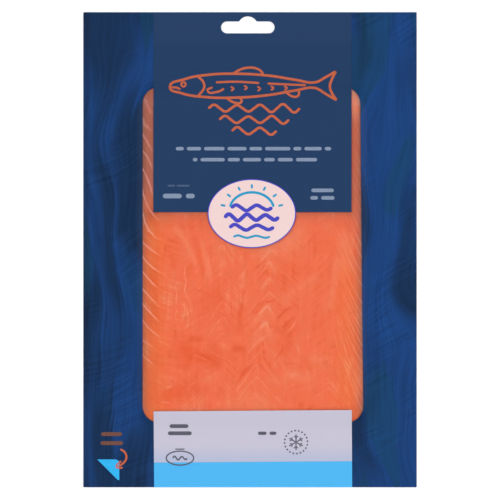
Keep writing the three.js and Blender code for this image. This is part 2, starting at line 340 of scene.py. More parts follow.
# Seams in the middle, each a bend like a roof: half width, strength, its ridge, and its feet from the ridge
MIDDLE_SEAMS = [
    (1.1, 0.4, (12.4, 0), (-6.6, -8), (6.4, -7.7)),
    (1, 0.27, (12, -7.6), (-5.8, -7.2), (3, -5.4)),
    (1, 0.27, (10.9, -17.2), (-3.4, -6), (6.7, -6.4)),
    (1, 0.26, (11.7, -25.6), (-6.9, -7.5), (2.6, -3.6)),
    (1.1, 0.5, (10.5, -34), (-6.7, -6), (5.3, -7.7)),
    (1, 0.5, (9.4, -43.8), (-3.8, -3.9), (4.5, -7.4)),
    (0.55, 0.3, (7.4, -52.8), (-9.8, -10.4), (5, -17)),
    (0.5, 0.28, (6.8, -61.5), (-9.2, -9.5), (2.6, -15)),
    (0.5, 0.28, (4.2, -69), (-13.8, -18.1), (2.1, -14)),
    (0.5, 0.28, (1.8, -78.8), (-10.2, -12.5), (2.1, -11.3)),
    (0.5, 0.24, (-16.2, -31.2), (-8.6, -12.3), (5.4, -9.4)),
    (0.5, 0.24, (-15.9, -40.4), (-9.9, -12), (4.5, -9)),
    (0.5, 0.24, (-16.4, -49.9), (-5.8, -6.2), (3.8, -3.2)),
]
# Stray seams: half width in mm, strength, path
STRAY_SEAMS = [
    (1.7, 0.42, [(-63.6, 92), (-61, 85), (-57, 79)]),
    (1.2, 0.5, [(-65, 80), (-63, 75), (-57, 69.5)]),
    # This pale seam at the top of the right strip is partly a seam, partly painted light there
    (1.3, 0.3, [(63.5, 86.5), (63, 82)]),
    (0.34, 0.6, [(-38.4, -9), (-39.6, -15.8), (-38.3, -19), (-39.4, -24.5), (-36.2, -32), (-36, -36)]),
    (0.32, 0.4, [(-43.4, -17), (-44.7, -22.7), (-43.8, -28), (-45.3, -34)]),
    (0.32, 0.42, [(-38.2, -34.5), (-36.4, -41), (-37.8, -48)]),
    (0.32, 0.4, [(-39.8, -30.5), (-39, -37), (-40.4, -41.5), (-42.2, -46)]),
    (0.32, 0.38, [(-42.2, -33.5), (-44.9, -39), (-45.2, -43)]),
    (0.3, 0.28, [(-46.5, -11), (-46.8, -15), (-46.2, -20)]),
    (0.5, 0.29, [(-48.3, -74.5), (-45.3, -71), (-44.4, -72.5)]),
    (0.4, 0.29, [(-38.7, -72), (-36, -74.8), (-37.8, -77.2)]),
    (0.35, 0.28, [(-36, -66.8), (-29, -70.3), (-25.2, -73.4), (-26.7, -74.5)]),
    (0.35, 0.28, [(-34.8, -62.5), (-26.4, -65.5), (-18.6, -69.8)]),
    (0.35, 0.28, [(-25.8, -59.5), (-18, -64.3), (-14.4, -65)]),
    (0.35, 0.28, [(-38.4, -81.8), (-30, -78.5), (-26.4, -77)]),
    (0.6, 0.5, [(-51, -83.5), (-44.4, -80)]),
    (0.9, 0.5, [(-54, -92), (-51, -91.3), (-46.2, -92.2)]),
    (0.6, 0.4, [(21.5, -50.5), (25.2, -46.5), (28.6, -41.2)]),
    (0.4, 0.28, [(13.2, -71), (15.6, -68), (18.6, -64.3)]),
    (0.5, 0.28, [(12.6, -77), (17.4, -80)]),
    (0.4, 0.28, [(48.6, -41.5), (53.4, -38.5)]),
    (0.4, 0.28, [(41.4, -63.8), (43.5, -66.8)]),
    (0.4, 0.29, [(38.4, -89), (39.3, -92.5)]),
    (0.35, 0.25, [(48.6, -43.4), (52.8, -60.2), (57, -73.4)]),
    (0.35, 0.3, [(51.6, -38.6), (55.8, -54.2), (60, -66.8)]),
    (0.35, 0.25, [(54, -41), (58.8, -57.2), (63.6, -73.4)]),
]
# Dark fibres that show between the seams, listed in the same way
FIBRES = [
    (0.8, 0.7, [(-61.2, 95), (-58, 92.5)]),
    (0.5, 0.5, [(-36.6, -19.5), (-37.8, -26)]),
    (0.5, 0.5, [(-39, -38.5), (-38.7, -46)]),
    (0.6, 0.45, [(-35, -23.5), (-28, -25), (-21.5, -28)]),
    (0.6, 0.5, [(-18, -43), (-14.5, -38.5)]),
    (0.6, 0.45, [(-3, -24), (-4.2, -30), (-5.9, -39.5), (-6, -48)]),
    (0.6, 0.45, [(-6.6, -34), (-7.2, -40), (-6.8, -46)]),
    (0.5, 0.4, [(-11, -30), (-11.4, -37.5), (-10.2, -43.5)]),
    (0.6, 0.4, [(-17, -52), (-11, -52)]),
    (0.6, 0.4, [(-27.5, -56), (-23, -58.5)]),
    (0.6, 0.45, [(-33, -61.3), (-28, -64), (-23, -66)]),
    (0.65, 0.45, [(-8.5, -81), (-3, -73.3), (0, -69)]),
    (0.6, 0.6, [(8.4, -14), (10.2, -15), (12.6, -14.5)]),
    (0.6, 0.4, [(15.6, -14.5), (22.8, -17.6)]),
    (0.5, 0.55, [(28.8, -14.5), (33.6, -14)]),
    (0.6, 0.6, [(17.4, -27), (21, -26)]),
    (0.6, 0.7, [(7.2, -31.6), (13.2, -31), (16.8, -28.6)]),
    (0.6, 0.7, [(7.8, -39.8), (10.8, -39)]),
    (0.7, 0.6, [(16.2, -42), (20.4, -36.8), (28.2, -32.5)]),
    (0.6, 0.7, [(11.6, -44), (12, -47), (16.8, -44)]),
    (0.6, 0.6, [(19.2, -47.5), (23.4, -42), (26.4, -41.5)]),
    (0.45, 0.5, [(23.4, -51), (22, -53)]),
    (0.65, 0.6, [(19.2, -56), (19.6, -60), (13.2, -68.5)]),
    (0.55, 0.6, [(19.8, -66.5), (22.2, -68.5), (30.6, -68)]),
    (0.6, 0.45, [(43.8, -59.5), (45.6, -65.5)]),
    (0.6, 0.4, [(42, -51), (45.6, -48.8)]),
    (0.5, 0.4, [(24, -84), (28.2, -82), (33, -82.3)]),
    (0.65, 0.5, [(48.6, -38), (53.4, -35.5)]),
    (0.55, 0.45, [(-44.4, -49), (-44.4, -53)]),
    (0.5, 0.4, [(-46.8, -59.5), (-44.4, -61)]),
]
# Softer streaks: radius in mm, strength (deeper flesh above 0, paler below), path
STREAKS = [
    (1.8, 0.4, [(-46, -7.5), (-45.5, -10)]),
    (1.8, -0.35, [(-44.5, 13), (-38, 4), (-33, -7.5)]),
    (1.5, 0.35, [(-33, 7.5), (-28, -15)]),
    (1.7, -0.3, [(-29, 4), (-23, -18)]),
    (1.6, 0.25, [(-24.5, 0), (-18, -29)]),
    (1.4, -0.15, [(-12.5, -21), (-14, -37.5)]),
    (1.4, -0.3, [(-4, -15), (-3.6, -30)]),
    (1.5, 0.3, [(-2.5, -3), (-4, -26)]),
    (1.2, 0.25, [(-4, -25), (-5.6, -37)]),
    (1.3, 0.2, [(-5, -33), (-6.4, -48)]),
    (1.8, -0.3, [(-17.5, -57), (-12, -59)]),
    (1.8, -0.25, [(-9.5, -52.5), (-6, -53.5)]),
    (2.4, -0.3, [(-33.5, -56.5), (-28, -57)]),
    (2, 0.3, [(-35, -53.5), (-30, -54)]),
    (2, 0.5, [(-10, -59.5), (-4, -59.5)]),
    (7.5, 0.58, [(-38, -61), (-21, -66)]),
    (2.2, 0.2, [(-27.5, -64), (-17, -71)]),
    (2, 0.3, [(-43, -70), (-38.5, -70.5)]),
    (2.8, -0.3, [(-29, -79.5), (-18, -73.5), (-13, -67.5)]),
    (2.4, 0.4, [(-5, -73.5), (0, -70.5)]),
    (2, 0.35, [(-17.5, -83.5), (-19, -87)]),
    (1.8, 0.4, [(2.5, -37), (5, -38)]),
    (1.4, -0.4, [(11, -7.5), (14.5, -12)]),
    (1.5, -0.4, [(7, -23), (11, -19)]),
    (2.6, -0.3, [(51.5, -7.5), (50, -24), (47.5, -34)]),
    (2, 0.2, [(50, 4), (47.5, -13.5)]),
    (3, -0.25, [(21, -28.5), (38.5, -17.5)]),
    (2, -0.2, [(12, -77), (17, -80)]),
    (3.2, -0.3, [(23, -75), (33.5, -77.5)]),
    (2.2, -0.3, [(36.5, -65), (43, -66)]),
    (1.6, 0.3, [(33, -66), (35.5, -71.5)]),
    (2.5, 0.35, [(21.5, -47.5), (23, -56), (20.5, -61.5)]),
    (1.4, 0.35, [(16, -41.8), (20.5, -37), (26, -34)]),
    (1.2, 0.45, [(20, -46.5), (26, -41)]),
    (1.2, 0.3, [(23.5, -51.5), (27.5, -46.8)]),
    (2.5, -0.3, [(7, -52), (0, -59.5)]),
    (1.5, 0.5, [(45, -67.5), (46, -69)]),
    (5, 0.3, [(-57.5, -20.5), (-57, -42)]),
    (8, 0.3, [(-23, -30), (-8.5, -46)]),
    (6.5, 0.55, [(-48, -86.5), (-32, -84)]),
    (7, -0.35, [(11, 1), (27.5, 7)]),
    (4, -0.2, [(7, -41), (9.5, -48)]),
    (5, -0.35, [(56.5, 8), (58, -10)]),
    (6, -0.2, [(-2.5, -90), (7, -92.5)]),
    (1.6, -0.22, [(1, -46), (9.5, -34.5), (15, -41.5)]),
    (1.6, -0.22, [(1, -54), (9, -44), (14, -54)]),
    # These two pale the top of the right strip: painted light, with the painted pool of light there
    (2.4, -0.9, [(62.5, 94), (64, 89)]),
    (3, -0.5, [(63, 89), (62.5, 80)]),
    (2.6, 0.25, [(-34, -53), (-31, -54)]),
    (2.2, 0.2, [(-22, -57.5), (-20, -58)]),
    (2.6, 0.2, [(-8, -59.5), (-6.5, -60)]),
    # A pale veil along the left strip beside the title label: painted sheen of the film over the flesh
    (3.2, -0.25, [(-59, 92), (-59, 26)]),
]

window_centre = Vector((WINDOW["x"], WINDOW["y"], 0))
half_window = Vector((WINDOW["width"] / 2, WINDOW["length"] / 2, 0))
window_low, window_high = window_centre - half_window, window_centre + half_window
half_slices = half_window + Vector((SLICES_REACH, SLICES_REACH, 0))


def ease(t):
    t = np.clip(t, 0, 1)
    return t * t * (3 - 2 * t)


def outwards(x, y):
    """Where a point is on the slices' rounded edge, sideways and lengthways: 0 inside it, 1 at its foot."""
    rx, ry = CORNER_ROUNDING * SIDE_SHOULDER, CORNER_ROUNDING * END_SHOULDER
    sideways = (np.abs(x - window_centre.x) - (half_slices.x - rx)) / rx
    lengthways = (np.abs(y - window_centre.y) - (half_slices.y - ry)) / ry
    return np.maximum(sideways, 0), np.maximum(lengthways, 0)


def swell(x, y):
    """The unevenness of slices laid by hand."""
    return 0.21 * np.sin(x / 13 + 1) * np.cos(y / 19) + 0.14 * np.sin((x + y) / 17 - 0.6)


def folds(x, y):
    """Tension folds where the drawn film gathers round the foot of the slices: they fan out from the
    corners, and are short and shallow along the sides."""
    sideways, lengthways = outwards(x, y)
    outward = np.hypot(sideways, lengthways)
    band = ease((outward - 0.7) / 0.35) * (1 - ease((outward - 1.05) / 1.1))
    angle = np.arctan2(lengthways, sideways)
    at_corner = np.sin(2 * angle) ** 2
    fan = 0.5 + 0.5 * np.cos(17 * angle + 2 * np.sin(3 * angle) + x / 60)
    ripple = 0.5 + 0.5 * np.sin((x + y) / 2.3 + 1.7 * np.sin((y - x) / 11))
    return FOLD_HEIGHT * band * (at_corner * fan**1.5 + 0.22 * (1 - at_corner) * ripple)


def web_top(x, y):
    """The front web's outer face: welded flat round the edge, and drawn tight over the slices."""
    side = half_width - SIDE_WELD - np.abs(x)
    foot = y + half_length - SIDE_WELD
    top = half_length - TOP_WELD - y
    weld = ease(np.minimum(np.minimum(side, foot), top) / WELD_STEP)
    rise = ease(CORNER_ROUNDING * (1 - np.hypot(*outwards(x, y))))
    flat = back_top(x, y) + LAYER_GAP + FILM
    return flat + WELD_RISE * weld + rise * (SLICES_HEIGHT + swell(x, y)) + weld * folds(x, y)


def rows(x, y):
    """Counts the muscle rows up the fillet: a seam lies at each whole number. The middle bend drifts to the
    left towards the foot, and no row is quite like the next."""
    u = x - window_low.x
    drift = DRIFT["by"] * ease((DRIFT["below"] - y) / DRIFT["over"])
    drift = drift * np.exp(-(((u - DRIFT["middle"]) / DRIFT["wide"]) ** 4))
    bend_u, bend_climb = np.array(ROW_BENDS).T
    climb = np.interp(u + drift + 1.5 * np.sin(y / 8 + u / 19), bend_u, bend_climb)
    count = (y - climb) / ROW_PITCH
    aside = x - TURNED["x"]
    turned = TURNED["by"] * aside * np.exp(-(np.hypot(aside, y - TURNED["y"]) / TURNED["radius"]) ** 2)
    return count + turned + 0.16 * np.sin(y / 17 + u / 31) + 0.12 * np.sin(u / 9 - y / 29)


def between(t, low, high, soft):
    """1 where t lies between low and high, and 0 outside, with soft ends."""
    return ease((t - low) / soft + 0.5) * ease((high - t) / soft + 0.5)


def row_share(x, y):
    """How clearly the rows show: most about the two bends in the middle, and hardly between them."""
    u = x - window_low.x
    share = 0.15 + 0.1 * ease((u - 100) / 20)
    for much, middle, wide, low, high in CLEAR_ROWS:
        share += much * np.exp(-(((u - middle) / wide) ** 2)) * between(y, low, high, 8)
    return np.clip(share, 0, 1)


def curved(start, corner, end):
    """A path that leaves its start towards a corner and swings round to its end."""
    start, corner, end = (Vector(point) for point in (start, corner, end))
    return [start.lerp(corner, t).lerp(corner.lerp(end, t), t) for t in np.linspace(0, 1, 6)]


def belly_seam(strength, height, corner, end):
    left = window_low.x
    start = (left - BELLY_OUTSIDE, height)
    return BELLY_HALF, strength, curved(start, (left + corner[0], corner[1]), (left + end[0], end[1]))


def back_seam(strength, height, steep, reach):
    right = window_high.x + WINDOW["flare"] + BACK_OUTSIDE
    climb = steep * reach
    start, corner = (right, height), (right - reach / 2, height + climb / 2)
    end = (right - reach, height + climb + BACK_STEEPER * reach**2)
    return BACK_HALF, strength, curved(start, corner, end)


def middle_seam(half, strength, ridge, left, right):
    """Its ridge is rounded, and its sides are a little hollow."""
    steps = [(1, 1, left), (0.45, 0.38, left), (0.13, 0.03, left)]
    steps += [(0.13, 0.03, right), (0.5, 0.38, right), (1, 1, right)]
    return half, strength, [(ridge[0] + i * foot[0], ridge[1] + j * foot[1]) for i, j, foot in steps]


def away_from(path, x, y):
    """How far each point is from a path, on which side of it (1 or -1), and how far along, from 0 to 1."""
    nearest = np.full(x.shape, 1e3)
    side = np.ones(x.shape)
    along = np.zeros(x.shape)
    for i, ((ax, ay), (bx, by)) in enumerate(zip(path[:-1], path[1:])):
        dx, dy = bx - ax, by - ay
        t = np.clip(((x - ax) * dx + (y - ay) * dy) / (dx * dx + dy * dy), 0, 1)
        away = np.hypot(x - ax - t * dx, y - ay - t * dy)
        closer = away < nearest
        nearest = np.where(closer, away, nearest)
        side = np.where(closer, np.where((x - ax) * dy - (y - ay) * dx > 0, 1, -1), side)
        along = np.where(closer, (i + t) / (len(path) - 1), along)
    return nearest, side, along


def seam_fields(seams, x, y):
    """Two fields for a set of seams: the distance across the nearest seam, in its half widths and with a
    sign for its side, and how strong that seam is there, which fades out at its ends."""
    across = np.full(x.shape, FAR)
    strength = np.zeros(x.shape)
    for half, strong, path in seams:
        length = sum(math.dist(a, b) for a, b in zip(path[:-1], path[1:]))
        away, side, along = away_from(path, x, y)
        fade = ease(along * length / FADE_IN) * ease((1 - along) * length / max(FADE_OUT, 0.4 * length))
        here = strong * fade * np.exp(-((away / SEAM_REACH) ** 2))
        stronger = here > strength
        across = np.where(stronger, side * np.minimum(away / half, FAR), across)
        strength = np.where(stronger, here, strength)
    return across, strength


def blush(x, y):
    """Where the flesh is deeper in colour (above 0) or paler (below 0)."""
    total = np.zeros(x.shape)
    for radius, strong, path in STREAKS:
        away, _, along = away_from(path, x, y)
        total += strong * np.exp(-((away / radius) ** 2))
    return total


def shaded(x, y):
    """How much painted shade darkens the flesh, from 0 to 1: shade painted where light that has sunk in
    soaks away under the ink, at the window's sides, below the title label, and most in the two strips
    beside it."""
    left = x - window_low.x
    right = window_high.x - x
    beside = np.maximum(np.abs(x - TITLE["x"]) - TITLE["width"] / 2, 0)
    title = np.hypot(beside, np.maximum(TITLE["foot"] - y, 0))
    away = {"left": left, "right": right, "title": title}
    away |= {"left_strip": left + title, "right_strip": right + title, "title_edge": title}
    shade = {}
    for name, (deep, reach) in PAINTED_SHADES.items():
        shade[name] = deep * np.exp(-np.maximum(away[name], 0) / reach)
    # Less painted shade on the right side about this height, then painted pools of light beside the title
    # label
    less = LESS_PAINTED_SHADE["by"] * np.exp(-(((y - LESS_PAINTED_SHADE["y"]) / LESS_PAINTED_SHADE["radius"]) ** 2))
    total = sum(shade.values()) - less * shade["right"] / PAINTED_SHADES["right"][0]
    for lit_x, lit_y, wide, long, much in PAINTED_LIGHT_POOLS:
        total -= much * np.exp(-(((x - lit_x) / wide) ** 2) - ((y - lit_y) / long) ** 2)
    return np.clip(total, 0, 1)


def browned(x, y):
    """Where the smoke has coloured the flesh: down the fillet's belly edge and at the back's lower end."""
    inwards, wide = BELLY_BROWN
    belly = np.exp(-(((x - window_low.x - inwards) / wide) ** 2)) * ease((TITLE["foot"] + 10 - y) / 20)
    inwards, wide = BACK_BROWN
    back = np.exp(-(((window_high.x - x - inwards) / wide) ** 2)) * between(y, -100, -5, 40)
    return np.maximum(belly, back)


def slices_top(x, y):
    count = rows(x, y)
    from_seam = np.abs(count - np.round(count)) * ROW_PITCH
    groove = SEAM_GROOVE * np.exp(-((from_seam / 1.3) ** 2)) * row_share(x, y)
    return web_top(x, y) - FILM - 2 * LAYER_GAP - groove


salmon = sheet(window_centre - half_slices, window_centre + half_slices, 1)
trim = Vector((SIDE_SHOULDER, END_SHOULDER, 0)) * SLICES_TRIM
corner_x = CORNER_ROUNDING * SIDE_SHOULDER - trim.x
corner_y = CORNER_ROUNDING * END_SHOULDER - trim.y
size = 2 * (half_slices - trim)
squash = corner_y / corner_x
outline = block(window_centre.x, window_centre.y / squash, size.x, size.y / squash)
round_edges(outline, corner_x, segments=16)
outline.select_set(True)
bpy.ops.transform.resize(value=(1, squash, 1), center_override=(0, 0, 0))
bpy.ops.object.transform_apply()
combine(salmon, outline, "INTERSECT")
at_x, at_y, _ = places_of(salmon)
form(salmon, lambda x, y: np.full(x.shape, back_high.z + LAYER_GAP), slices_top)
salmon.name = "salmon"

# What the material reads at each point of the mesh
fields = {field.__name__: field(at_x, at_y) for field in (rows, row_share, blush, shaded, browned)}
seams = [belly_seam(*seam) for seam in BELLY_SEAMS] + [back_seam(*seam) for seam in BACK_SEAMS]
seams += [middle_seam(*seam) for seam in MIDDLE_SEAMS] + STRAY_SEAMS
# Every second seam goes to another set, so that in each set the seams lie well apart.
fields["across_a"], fields["seam_a"] = seam_fields(seams[::2], at_x, at_y)
fields["across_b"], fields["seam_b"] = seam_fields(seams[1::2], at_x, at_y)
fields["across_c"], fields["fibre"] = seam_fields(FIBRES, at_x, at_y)
for name, values in fields.items():
    layer = salmon.data.attributes.new(name, "FLOAT", "POINT")
    layer.data.foreach_set("value", values.astype(np.float32))


def smoked_salmon(tree):
    """Cold-smoked salmon: translucent, moist, with dense fibre and thin pale seams of fat."""
    value = {name: add_node(tree, "Attribute", {}, attribute_name=name).outputs["Fac"] for name in fields}
    place = add_node(tree, "TexCoord", {}).outputs["Object"]

    # Seams and dark fibres: lines where the distance across them is near 0. They waver and have gaps
    waver = add_node(tree, "TexNoise", {"Vector": place, "Scale": 1 / (4 * MM), "Detail": 3})
    offset = add_node(tree, "Math", {0: waver, 1: 1.6, 2: -0.8}, operation="MULTIPLY_ADD")
    gaps = add_node(tree, "TexNoise", {"Vector": place, "Scale": 1 / (3 * MM), "Detail": 2})
    unbroken = {"Value": gaps, "From Min": 0.25, "From Max": 0.5, "To Min": 0.55}
    unbroken = add_node(tree, "MapRange", unbroken, **SMOOTH)
    drawn = {}
    for across, share in (("across_a", "seam_a"), ("across_b", "seam_b"), ("across_c", "fibre")):
        moved = add_node(tree, "Math", {0: value[across], 1: offset}, operation="ADD")
        away = add_node(tree, "Math", {0: moved}, operation="ABSOLUTE")
        line = add_node(tree, "MapRange", {"Value": away, "From Min": 1.3, "From Max": 0.1}, **SMOOTH)
        line = add_node(tree, "Math", {0: line, 1: value[share]}, operation="MULTIPLY")
        drawn[share] = add_node(tree, "Math", {0: line, 1: unbroken}, operation="MULTIPLY")
    lines = add_node(tree, "Math", {0: drawn["seam_a"], 1: drawn["seam_b"]}, operation="MAXIMUM")

    # Muscle rows, paler at their seams
    row = add_node(tree, "Math", {0: waver, 1: 0.35, 2: value["rows"]}, operation="MULTIPLY_ADD")
    from_seam = add_node(tree, "Math", {0: row, 1: 0.5}, operation="PINGPONG")
    pale_row = add_node(tree, "MapRange", {"Value": from_seam, "From Min": 0.22, "From Max": 0}, **SMOOTH)
    pale_row = add_node(tree, "Math", {0: pale_row, 1: value["row_share"]}, operation="MULTIPLY")

    # Fibre that follows the rows, the marks of the slicer's blade, and broad uneven patches
    across = add_node(tree, "SeparateXYZ", {"Vector": place}).outputs["X"]
    slow = add_node(tree, "Math", {0: across, 1: 1 / (11 * MM)}, operation="MULTIPLY")
    quick = add_node(tree, "Math", {0: value["rows"], 1: 4}, operation="MULTIPLY")
    along_rows = add_node(tree, "CombineXYZ", {"X": slow, "Y": quick})
    grain = add_node(tree, "TexNoise", {"Vector": along_rows, "Scale": 1, "Detail": 2})
    thread = add_node(tree, "TexNoise", {"Vector": along_rows, "Scale": 2.3, "Detail": 3})
    stretched = add_node(tree, "Mapping", {"Vector": place, "Scale": (1 / (3.2 * MM), 1 / (26 * MM), 1)})
    sliced = add_node(tree, "TexNoise", {"Vector": stretched, "Scale": 1, "Detail": 2, "Distortion": 0.8})
    patches = add_node(tree, "TexNoise", {"Vector": place, "Scale": 1 / (18 * MM), "Detail": 3})

    # The tone is deeper flesh above 0 and paler below. Each noise is centred on 0.5.
    tone = add_node(tree, "Math", {0: pale_row, 1: -0.2}, operation="MULTIPLY")
    for pattern, share in ((patches, 1.5), (grain, 1.1), (thread, 0.25), (sliced, 1.1), (waver, 0.4)):
        centred = add_node(tree, "Math", {0: pattern, 1: 0.5}, operation="SUBTRACT")
        tone = add_node(tree, "Math", {0: centred, 1: share, 2: tone}, operation="MULTIPLY_ADD")
    deeper = add_node(tree, "MapRange", {"Value": tone, "From Max": 0.9}, **SMOOTH)
    paler = add_node(tree, "MapRange", {"Value": tone, "From Max": -0.9}, **SMOOTH)

    streaky = {"Value": thread, "From Min": 0.3, "From Max": 0.7, "To Min": 0.8, "To Max": 1.2}
    streaky = add_node(tree, "MapRange", streaky, **SMOOTH)
    blush = add_node(tree, "Math", {0: value["blush"], 1: streaky}, operation="MULTIPLY")
    blushing = add_node(tree, "MapRange", {"Value": blush, "From Max": 0.9})
    pallid = add_node(tree, "MapRange", {"Value": blush, "From Max": -0.9})
    flesh = linear(FLESH)
    layers = [(deeper, FLESH_DEEP), (paler, FLESH_PALE), (blushing, FLESH_DEEP), (pallid, FLESH_PALE)]
    for share, other in (*layers, (drawn["fibre"], FIBRE)):
        flesh = add_node(tree, "Mix", {0: share, 6: flesh, 7: linear(other)}, data_type="RGBA").outputs[2]
    tinted = {"data_type": "RGBA", "blend_type": "MULTIPLY"}
    # The flesh takes the smoke stain, and then its painted shade
    for share, tint in ((value["browned"], BROWNED), (value["shaded"], PAINTED_SHADE_TINT)):
        flesh = add_node(tree, "Mix", {0: share, 6: flesh, 7: (*tint, 1)}, **tinted).outputs[2]
    # The seams take 0.7 of the painted shade, in their own lighter and bluer tint
    less_shaded = add_node(tree, "Math", {0: value["shaded"], 1: 0.7}, operation="MULTIPLY")
    fat = add_node(tree, "Mix", {0: less_shaded, 6: linear(FAT), 7: (*FAT_PAINTED_SHADE_TINT, 1)}, **tinted).outputs[2]
    colour = add_node(tree, "Mix", {0: lines, 6: flesh, 7: fat}, data_type="RGBA").outputs[2]

    height = add_node(tree, "Math", {0: lines, 1: -0.5, 2: grain}, operation="MULTIPLY_ADD")
    bump = add_node(tree, "Bump", {"Height": height, "Strength": 0.25, "Distance": 0.3 * MM})
    moist = {"Roughness": 0.45, "IOR": 1.38}
    deep = {"Subsurface Weight": 0.7, "Subsurface Radius": (1.0, 0.22, 0.12), "Subsurface Scale": 3.5 * MM}
    shade = add_node(tree, "BsdfPrincipled", {"Base Color": colour, "Normal": bump, **moist, **deep})
    add_node(tree, "OutputMaterial", {"Surface": shade})


smoked_salmon(new_material("cold_smoked_salmon", salmon))
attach(salmon, "root")
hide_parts("salmon_slices")


# Front web. A thin film printed on its inner side, so that its gloss lies over the ink, and drawn down over
# the slices by the vacuum. The print is brushed streaks of navy, royal blue and teal. It leaves a window
# with round corners bare, a little wider at its foot.
NAVY = "#122d50"
ROYAL = "#143e78"
TEAL = "#103e5a"
# What the colour is multiplied by in the film's narrow left margin
LEFT_MARGIN = (1.1, 0.72, 0.65)
# How far the strokes sway from straight, and how far their ends are feathered
SWAY = Vector((45, 20, 0)) * MM
FEATHER = Vector((9, 30, 0)) * MM
# The cut in the print is wider than the clear film by this much, so that the two don't touch
WINDOW_GAP = 0.1


def window_tool(gap):
    """The window's outline, larger by gap all round."""
    tool = block(WINDOW["x"], WINDOW["y"], WINDOW["width"] + 2 * gap, WINDOW["length"] + 2 * gap)
    for end in (1, -1):
        edit(tool, lambda a, b: upright(a, b) and a.x > WINDOW["x"] and end * (a.y - WINDOW["y"]) > 0)
        bpy.ops.transform.translate(value=(-end * WINDOW["flare"] * MM, 0, 0))
        bpy.ops.object.mode_set(mode="OBJECT")
    round_edges(tool, WINDOW["corner"])
    return tool


def film_below(offset):
    return lambda x, y: web_top(x, y) - offset


printed_film = sheet(back_low, back_high, FILM)
combine(printed_film, slot_tool(), "DIFFERENCE")
combine(printed_film, window_tool(WINDOW_GAP), "DIFFERENCE")
form(printed_film, film_below(FILM), web_top)
printed_film.name = "printed_film"


def brushed_print(tree):
    """Film printed with broad brush strokes that run along the pack, each with the fine marks of bristles.
    A Mapping node's scale is its pattern's size: strokes are 15 by 85 mm, and bristles 1.5 mm wide, coarser
    than real ones so that they show."""
    place = add_node(tree, "TexCoord", {}).outputs["Object"]
    broad = {"Vector": place, "Scale": (60 * MM, 90 * MM, 1)}
    broad = add_node(tree, "Mapping", broad, vector_type="TEXTURE")
    sway = add_node(tree, "TexNoise", {"Vector": broad, "Scale": 1, "Detail": 1}).outputs["Color"]
    swayed = add_node(tree, "VectorMath", {0: sway, 1: SWAY, 2: place}, operation="MULTIPLY_ADD")

    noises = {}
    for name, wide, long, degrees, detail, rough in (
        ("bristle", 1.5, 60, 0, 3, 0.6),
        ("wash", 22, 80, 0, 2, 0.5),
        ("crossing", 1.8, 45, -62, 2, 0.5),
    ):
        turn = (0, 0, math.radians(degrees))
        laid = {"Location": SWAY / 2, "Rotation": turn, "Scale": (wide * MM, long * MM, 1)}
        laid = add_node(tree, "Mapping", {"Vector": swayed, **laid}, vector_type="TEXTURE")
        noise = {"Vector": laid, "Scale": 1, "Detail": detail, "Roughness": rough}
        noises[name] = add_node(tree, "TexNoise", noise)

    # Each stroke is a cell with feathered ends
    bristles = noises["bristle"].outputs["Color"]
    feathered = add_node(tree, "VectorMath", {0: bristles, 1: FEATHER, 2: swayed}, operation="MULTIPLY_ADD")
    cell = {"Vector": feathered, "Location": (SWAY + FEATHER) / 2, "Scale": (15 * MM, 85 * MM, 1)}
    cell = add_node(tree, "Mapping", cell, vector_type="TEXTURE")
    stroke = {"Vector": cell, "Scale": 1, "Smoothness": 0.35}
    stroke = add_node(tree, "TexVoronoi", stroke, feature="SMOOTH_F1").outputs["Color"]
    drawn = add_node(tree, "SeparateColor", {"Color": stroke})

    # More royal blue to the right, and teal in some strokes
    across = add_node(tree, "SeparateXYZ", {"Vector": place}).outputs["X"]
    wash = noises["wash"]
    royal = add_node(tree, "Math", {0: drawn.outputs["Red"], 1: 0.35, 2: wash}, operation="MULTIPLY_ADD")
    royal = add_node(tree, "Math", {0: across, 1: 1.2, 2: royal}, operation="MULTIPLY_ADD")
    royal = add_node(tree, "MapRange", {"Value": royal, "From Min": 0.45, "From Max": 0.9}, **SMOOTH)
    teal = {"Value": drawn.outputs["Green"], "From Min": 0.66, "From Max": 0.8, "To Max": 0.5}
    teal = add_node(tree, "MapRange", teal, **SMOOTH)
    colour = linear(NAVY)
    for share, other in ((royal, ROYAL), (teal, TEAL)):
        colour = add_node(tree, "Mix", {0: share, 6: colour, 7: linear(other)}, data_type="RGBA").outputs[2]
    outer = {"Value": across, "From Min": (5 - half_width) * MM, "From Max": (2 - half_width) * MM}
    outer = add_node(tree, "MapRange", outer, **SMOOTH)
    outer = {0: outer, 6: colour, 7: (*LEFT_MARGIN, 1)}
    colour = add_node(tree, "Mix", outer, data_type="RGBA", blend_type="MULTIPLY").outputs[2]

    # The bristles' light and dark marks, and in some patches those of strokes that cross
    marks = {"Value": noises["bristle"], "From Min": 0.25, "From Max": 0.75, "To Min": 0.84, "To Max": 1.16}
    marks = add_node(tree, "MapRange", marks, **SMOOTH)
    crossing = {"Value": noises["crossing"], "From Min": 0.35, "From Max": 0.65}
    crossing = add_node(tree, "MapRange", {**crossing, "To Min": -0.12, "To Max": 0.12}, **SMOOTH)
    patch = add_node(tree, "TexNoise", {"Vector": place, "Scale": 1 / (30 * MM), "Detail": 1})
    patch = add_node(tree, "MapRange", {"Value": patch, "From Min": 0.48, "From Max": 0.6}, **SMOOTH)
    strength = add_node(tree, "Math", {0: crossing, 1: patch, 2: marks}, operation="MULTIPLY_ADD")
    colour = add_node(tree, "VectorMath", {0: colour, "Scale": strength}, operation="SCALE")
    satin_film(tree, colour.outputs[0], 0.34, grain=0.1)


brushed_print(new_material("reverse_printed_film", printed_film))
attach(printed_film, "root")
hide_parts("front_web")


# Window. The same film where it carries no ink: clear, glossy, and so close to the slices that only its
# gloss shows.
window_film = sheet(window_low, window_high + Vector((WINDOW["flare"], 0, 0)), FILM)
combine(window_film, window_tool(0), "INTERSECT")
form(window_film, film_below(FILM), web_top)
window_film.name = "clear_window"


